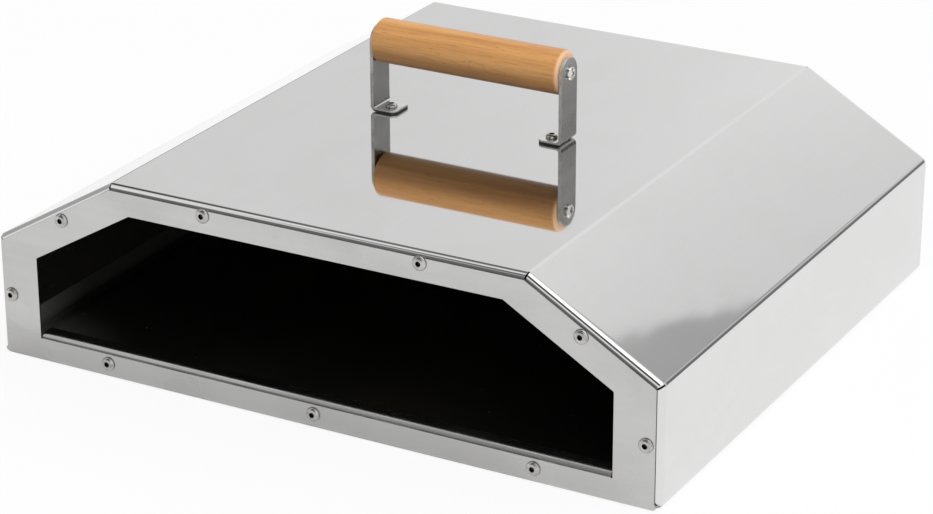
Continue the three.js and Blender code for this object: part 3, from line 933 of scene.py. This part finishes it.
# A blind rivet: a shallow dome with a pit where its pin broke off, and a bulb behind the sheets. The
# profile is written from the pit outwards and down.
def rivetProfile(headRadius, headHeight, grip):
    pitRadius, shank, bulb = rivet["pitRadius"], rivet["shank"], rivet["bulb"]
    angles = np.linspace(math.pi / 2, 0, rivet["domeSteps"])
    dome = pointsOf(
        pitRadius + (headRadius - pitRadius) * np.cos(angles),
        rivet["rim"] + (headHeight - rivet["rim"]) * np.sin(angles),
    )
    pitFloor = np.array(rivet["pitFloor"]) * (pitRadius, 1) + (0, headHeight - rivet["pitDepth"])
    pit = np.array([*pitFloor, (pitRadius - rivet["lip"] / 3, headHeight - rivet["lip"])])
    bulbTop, bulbEnd = -grip - rivet["bulbLead"], -grip - rivet["bulbLength"]
    sideEdge, topEdge = rivet["bulbEdge"]
    behind = np.array([
        (headRadius, rivet["underEdge"]),
        (headRadius - rivet["underEdge"], 0),
        (shank, 0),
        (shank, bulbTop),
        (bulb - sideEdge, bulbTop),
        (bulb, bulbTop - topEdge),
        (bulb, (bulbTop + bulbEnd) / 2),
        (shank, bulbEnd),
        (0, bulbEnd),
    ])
    return pit, np.concatenate([pit[-1:], dome, behind])


def makeRivet(name, node, axis, place, headRadius, headHeight, grip):
    pit, rest = rivetProfile(headRadius, headHeight, grip)
    grids = [placeGrid(turnedGrid(part, rivet["steps"]), axis, place) for part in (pit, rest)]
    steels = [fastenerSteel, recessShadeSteel]
    makePiece(name, zip(grids, (1, 0)), steels, node, sharpAngle=50)


sides = (("left", -1), ("right", 1))

plateRivets = {
    "headRadius": 4,
    "headHeight": 1.6,
    "grip": 2.3,
    "seat": 176.2,  # depth of the plate's face and the gap under the head
    "places": {
        "roof": (64.8, 107),
        "slope": (155.69, 86.58),
        "wall": (192, 36),
        "sill": (129.7, 8.2),
    },
}


def makePlateRivets():
    spots = [("Middle", "sill_middle", (0, plateRivets["places"]["sill"][1]))]
    for edge, (across, up) in plateRivets["places"].items():
        for side, sign in sides:
            spots.append((edge.title() + side.title(), f"{edge}_{side}", (sign * across, up)))
    for end, sign in (("front", -1), ("rear", 1)):
        for label, node, (across, up) in spots:
            place = (across, sign * plateRivets["seat"], up)
            makeRivet(
                f"{end}Rivet{label}", f"{end}_rivet_{node}", (0, sign, 0), place,
                plateRivets["headRadius"], plateRivets["headHeight"], plateRivets["grip"],
            )


makePlateRivets()
print("plate rivets made")

handle = {
    "span": 120,
    "y": -4.6,
    "roof": 113,
    "gripHeight": 40,
    "strapWidth": 17.5,
    "strapSheet": 2,
    "strapBend": 3.5,
    "strapSeat": 0.1,
    "tabReach": 15.5,
    "tabRivetReach": 9.5,
    "tabRivetLead": 1.8,
    "tabCorner": 4,
    "tabRivetRadius": 3.4,
    "tabRivetHeight": 2,
    "tabRivetGrip": 3.2,
    "acrossSteps": 9,
    "cornerSteps": 13,
    "tabSteps": 4,
    "bendSteps": 10,
    "riseSteps": 8,
    "crownSteps": 19,
    "edge": 0.28,
}


# A strap unrolled: along it runs the length from the end of its foot to its top, and across it the width
# that its outline has there. It is then rolled over the bend at its foot.
def bracketGrid():
    half, corner, bend = handle["strapWidth"] / 2, handle["tabCorner"], handle["strapBend"]
    straight = handle["tabReach"] - bend
    arcLength = bend * math.pi / 2
    rise = handle["gripHeight"] - bend - handle["strapSeat"]
    topStart = straight + arcLength + rise
    lengths = np.concatenate([
        corner * (1 - np.cos(np.linspace(0, math.pi / 2, handle["cornerSteps"]))),
        np.linspace(corner, straight, handle["tabSteps"])[1:],
        straight + arcLength * np.linspace(0, 1, handle["bendSteps"])[1:],
        np.linspace(straight + arcLength, topStart, handle["riseSteps"])[1:],
        topStart + half * np.sin(np.linspace(0, math.pi / 2, handle["crownSteps"]))[1:],
    ])
    rounded = half - corner + np.sqrt(np.maximum(corner**2 - np.maximum(corner - lengths, 0) ** 2, 0))
    crown = np.sqrt(np.maximum(half**2 - np.maximum(lengths - topStart, 0) ** 2, 0))
    widths = np.minimum(rounded, crown)
    angle = np.clip((lengths - straight) / bend, 0, math.pi / 2)
    out = np.where(lengths < straight, handle["tabReach"] - lengths, bend * (1 - np.sin(angle)))
    up = bend * (1 - np.cos(angle)) + np.maximum(lengths - straight - arcLength, 0) + handle["strapSeat"]
    columns = np.linspace(-1, 1, handle["acrossSteps"])
    # The tab's faces take the copy painted lighter, a painted light.
    onTab = lengths[1:, None] < straight + bend
    kinds = np.where(onTab, 2, 0) + 0 * columns[1:]
    return pointsOf(out[:, None], columns * widths[:, None], up[:, None]), kinds


def makeBrackets():
    grid, kinds = bracketGrid()
    steels = [strapShadedSteel, edgeHighlightSteel, tabLitSteel, tabEdgeLightAndShadowSteel]
    for side, sign in sides:
        placed = grid * (-sign, 1, 1) + (sign * handle["span"] / 2, handle["y"], handle["roof"])
        patches = [(placed if sign < 0 else placed[:, ::-1], kinds)]
        strap = makePiece(f"{side}Bracket", patches, steels, f"{side}_bracket")
        thicken(strap, handle["strapSheet"], rimMaterial=1, edge=handle["edge"])
        across = sign * (handle["span"] / 2 - handle["tabRivetReach"])
        up = handle["roof"] + handle["strapSheet"] + handle["strapSeat"] * 2
        makeRivet(
            f"{side}BracketRivet", f"{side}_bracket_rivet", (0, 0, 1),
            (across, handle["y"] - handle["tabRivetLead"], up),
            handle["tabRivetRadius"], handle["tabRivetHeight"], handle["tabRivetGrip"],
        )


makeBrackets()
print("brackets made")

grip = {
    "radius": 12.5,
    "end": 57.7,
    "rim": 2,
    "bore": 2,
    "boreDepth": 26,
    "boreEdge": 0.4,
    "rimSteps": 12,
    "alongSteps": 9,
    "steps": 96,
}


# A turned cylinder with rolled rims and a pilot hole in each end.
def makeGrip():
    end, rim, bore, edge = (grip[key] for key in ("end", "rim", "bore", "boreEdge"))
    angles = np.linspace(math.pi / 2, 0, grip["rimSteps"])
    across = grip["radius"] - rim + rim * np.cos(angles)
    half = np.concatenate([
        [(0, end - grip["boreDepth"]), (bore, end - grip["boreDepth"])],
        [(bore, end - edge), (bore + edge, end)],
        pointsOf(across, end - rim + rim * np.sin(angles)),
        pointsOf(grip["radius"], np.linspace(end - rim, 0, grip["alongSteps"])[1:]),
    ])
    profile = np.concatenate([half, half[-2::-1] * (1, -1)])
    place = (0, handle["y"], handle["roof"] + handle["gripHeight"])
    grid = placeGrid(turnedGrid(profile, grip["steps"]), (1, 0, 0), place)
    makePiece("grip", [(grid, 0)], [beech], "grip", sharpAngle=40)


makeGrip()

screw = {
    "headRadius": 3.8,
    "headHeight": 2.3,
    "rimShare": 0.33,
    "shank": 1.7,
    "length": 24,
    "tip": 4,
    "slotWidth": 1,
    "slotLength": 4,
    "slotDepth": 1.3,
    "slotWall": 0.16,
    "turn": 24,
    "seat": 0.1,
    "domeSteps": 40,
    "steps": 144,
}


# A pan head: an elliptic dome lowered inside a cross, as deep as the distance to the nearer arm says.
def makeScrews():
    headRadius, headHeight = screw["headRadius"], screw["headHeight"]
    radii = headRadius * np.sin(np.linspace(0, math.pi / 2, screw["domeSteps"]))
    rim = headHeight * screw["rimShare"]
    dome = rim + (headHeight - rim) * np.sqrt(np.maximum(1 - (radii / headRadius) ** 2, 0))
    profile = np.concatenate([
        pointsOf(radii, dome),
        [(headRadius, 0), (screw["shank"], 0)],
        [(screw["shank"], screw["tip"] - screw["length"]), (0, -screw["length"])],
    ])
    grid = turnedGrid(profile, screw["steps"])
    x, y = np.abs(grid[..., 0]), np.abs(grid[..., 1])
    wide, long = screw["slotWidth"] / 2, screw["slotLength"] / 2
    first = np.maximum(x - wide, y - long)
    second = np.maximum(x - long, y - wide)
    inside = np.clip(-np.minimum(first, second) / screw["slotWall"], 0, 1)
    floor = headHeight - screw["slotDepth"]
    onHead = np.arange(len(profile))[:, None] < len(radii)
    lowered = grid[..., 2] + (np.minimum(grid[..., 2], floor) - grid[..., 2]) * inside
    grid[..., 2] = np.where(onHead, lowered, grid[..., 2])
    # A face belongs to the cross when more than half of its corners are sunk.
    sunk = inside * onHead
    cross = (sunk[:-1, :-1] + sunk[1:, :-1] + sunk[1:, 1:] + sunk[:-1, 1:] > 2).astype(float)
    angle = math.radians(screw["turn"])
    spin = np.array([
        (math.cos(angle), -math.sin(angle), 0),
        (math.sin(angle), math.cos(angle), 0),
        (0, 0, 1),
    ])
    steels = [screwSteel, recessShadeSteel]
    for side, sign in sides:
        end = sign * (handle["span"] / 2 + screw["seat"])
        place = (end, handle["y"], handle["roof"] + handle["gripHeight"])
        patches = [(placeGrid(grid @ spin.T, (sign, 0, 0), place), cross)]
        node = f"{side}_grip_screw"
        makePiece(f"{side}GripScrew", patches, steels, node, sharpAngle=40)


makeScrews()
print("grip and screws made")

studio = {
    "floorSize": 14000,
    "floorTone": (0.94, 0.94, 0.935),
    "floorWhite": 0.88,  # share of plain white that the camera and mirror faces see in the floor
    "sky": 0.97,
    "darkest": 0.02,
    "ripple": 0.006,
    "rippleScale": 170,
    "shadeEdge": (0.6, 1.2),
    "shades": [  # where mirror faces see less white in the floor: middle, reach and loss
        ((-0.28, 0.02, 0), (0.075, 0.30, 1), 0.62),
        ((0.33, -0.23, 0), (0.12, 0.12, 1), 0.5),
        ((-0.08, -0.184, 0), (0.25, 0.036, 1), 0.85),
    ],
    "keySize": (1.6, 1.1),
    "keyPlace": (0.9, -1.1, 1.7),
    "keyPower": 14,
}

# Soft bright and dark zones of the room: direction, cosine where a zone ends and where it is full, and
# the light that it adds. Small zones are uneven, as the ripple bends every direction a little.
studioZones = [
    ((-0.62, 0.70, 0.35), 0.93, 0.99, -0.16),  # behind on the left, seen in the roof
    ((0.30, 0.82, 0.48), 0.976, 0.994, -0.17),  # behind, seen in the right slope
    ((0.3164, 0.7814, 0.5379), 0.987661, 0.988362, -0.34),  # its edge is in the slope's front corner
    ((0.185, 0.70, 0.69), 0.997, 0.9992, -0.5),  # a dark line where the slope's front roll begins
    ((0.60, 0.80, 0), 0.88, 0.99, -0.76),  # low behind, seen in the fold between slope and side
    ((0.42, 0.08, 0.90), 0.905, 0.95, 1.1),  # a lamp overhead, seen in the slope's front roll
    ((-0.45, 0.34, 0.826), 0.915, 0.978, -0.78),  # dark ceiling, seen where the roof's front roll begins
    ((-0.20, -0.56, 0.80), 0.928, 0.968, -0.82),  # dims the sill's lip and the roof's roll, right
    ((-0.33, -0.92, 0.20), 0.86, 0.95, -0.8),  # dark room behind the viewer
    ((0.30, -0.50, 0.81), 0.94, 0.978, -0.86),
    ((-0.90, 0.03, 0.37), 0.76, 0.92, -0.52),  # low on the left, seen in the left slope's front roll
    ((-0.69, 0.72, 0.02), 0.978, 0.9945, -0.5),
]


# A pale room: one even tone and soft zones. The camera sees plain white behind the oven.
def makeWorld():
    world = bpy.data.worlds.new("studio")
    bpy.context.scene.world = world
    tree = emptyTree(world)
    straight = addNode(tree, "ShaderNodeTexCoord").outputs["Generated"]
    inputs = {"Vector": straight, "Scale": studio["rippleScale"], "Detail": 2.0}
    waves = addNode(tree, "ShaderNodeTexNoise", inputs).outputs["Color"]
    centred = combine(tree, "SUBTRACT", waves, (0.5, 0.5, 0.5))
    bent = combine(tree, "MULTIPLY", centred, [studio["ripple"]] * 3)
    direction = combine(tree, "NORMALIZE", combine(tree, "ADD", straight, bent))
    light = studio["sky"]
    for centre, begin, full, amount in studioZones:
        near = measure(tree, "DOT_PRODUCT", direction, Vector(centre).normalized())
        light = calculate(tree, "ADD", light, rescale(tree, near, begin, full, 0, amount, "SMOOTHSTEP"))
    shown = calculate(tree, "MAXIMUM", light, studio["darkest"])
    room = addNode(tree, "ShaderNodeBackground", {"Color": shown, "Strength": 1.0})
    white = addNode(tree, "ShaderNodeBackground", {"Color": (1, 1, 1, 1), "Strength": 1.0})
    path = addNode(tree, "ShaderNodeLightPath")
    mixShaders(tree, path.outputs["Is Camera Ray"], room, white, "ShaderNodeOutputWorld")


# A flat floor: pale and matt for light, nearly plain white for the camera, with the soft shadow kept.
def makeFloor():
    half = studio["floorSize"] / 2 * millimetre
    mesh = bpy.data.meshes.new("floor")
    corners = [(-half, -half, 0), (half, -half, 0), (half, half, 0), (-half, half, 0)]
    mesh.from_pydata(corners, [], [(0, 1, 2, 3)])
    floor = bpy.data.objects.new("floor", mesh)
    bpy.context.scene.collection.objects.link(floor)
    material = bpy.data.materials.new("paleFloor")
    tree = emptyTree(material)
    matt = addNode(tree, "ShaderNodeBsdfDiffuse", {"Color": (*studio["floorTone"], 1)})
    white = addNode(tree, "ShaderNodeEmission", {"Color": (1, 1, 1, 1), "Strength": 1.0})
    path = addNode(tree, "ShaderNodeLightPath")
    place = objectPlace(tree)
    mirrored = path.outputs["Is Glossy Ray"]
    for middle, reach, loss in studio["shades"]:
        scaled = combine(tree, "DIVIDE", combine(tree, "SUBTRACT", place, middle), reach)
        away = measure(tree, "LENGTH", scaled)
        kept = rescale(tree, away, *studio["shadeEdge"], 1 - loss, 1, "SMOOTHSTEP")
        mirrored = calculate(tree, "MULTIPLY", mirrored, kept)
    seen = calculate(tree, "MAXIMUM", path.outputs["Is Camera Ray"], mirrored)
    share = calculate(tree, "MULTIPLY", seen, studio["floorWhite"])
    mixShaders(tree, share, matt, white, "ShaderNodeOutputMaterial")
    mesh.materials.append(material)


def makeKeyLight():
    data = bpy.data.lights.new("key", "AREA")
    data.shape = "RECTANGLE"
    data.size, data.size_y = studio["keySize"]
    data.energy = studio["keyPower"]
    lamp = bpy.data.objects.new("key", data)
    lamp.visible_glossy = False
    place = Vector(studio["keyPlace"])
    lamp.location = place
    lamp.rotation_mode = "QUATERNION"
    lamp.rotation_quaternion = (-place).to_track_quat("-Z", "Y")
    bpy.context.scene.collection.objects.link(lamp)


makeWorld()
makeFloor()
makeKeyLight()
print("studio made")
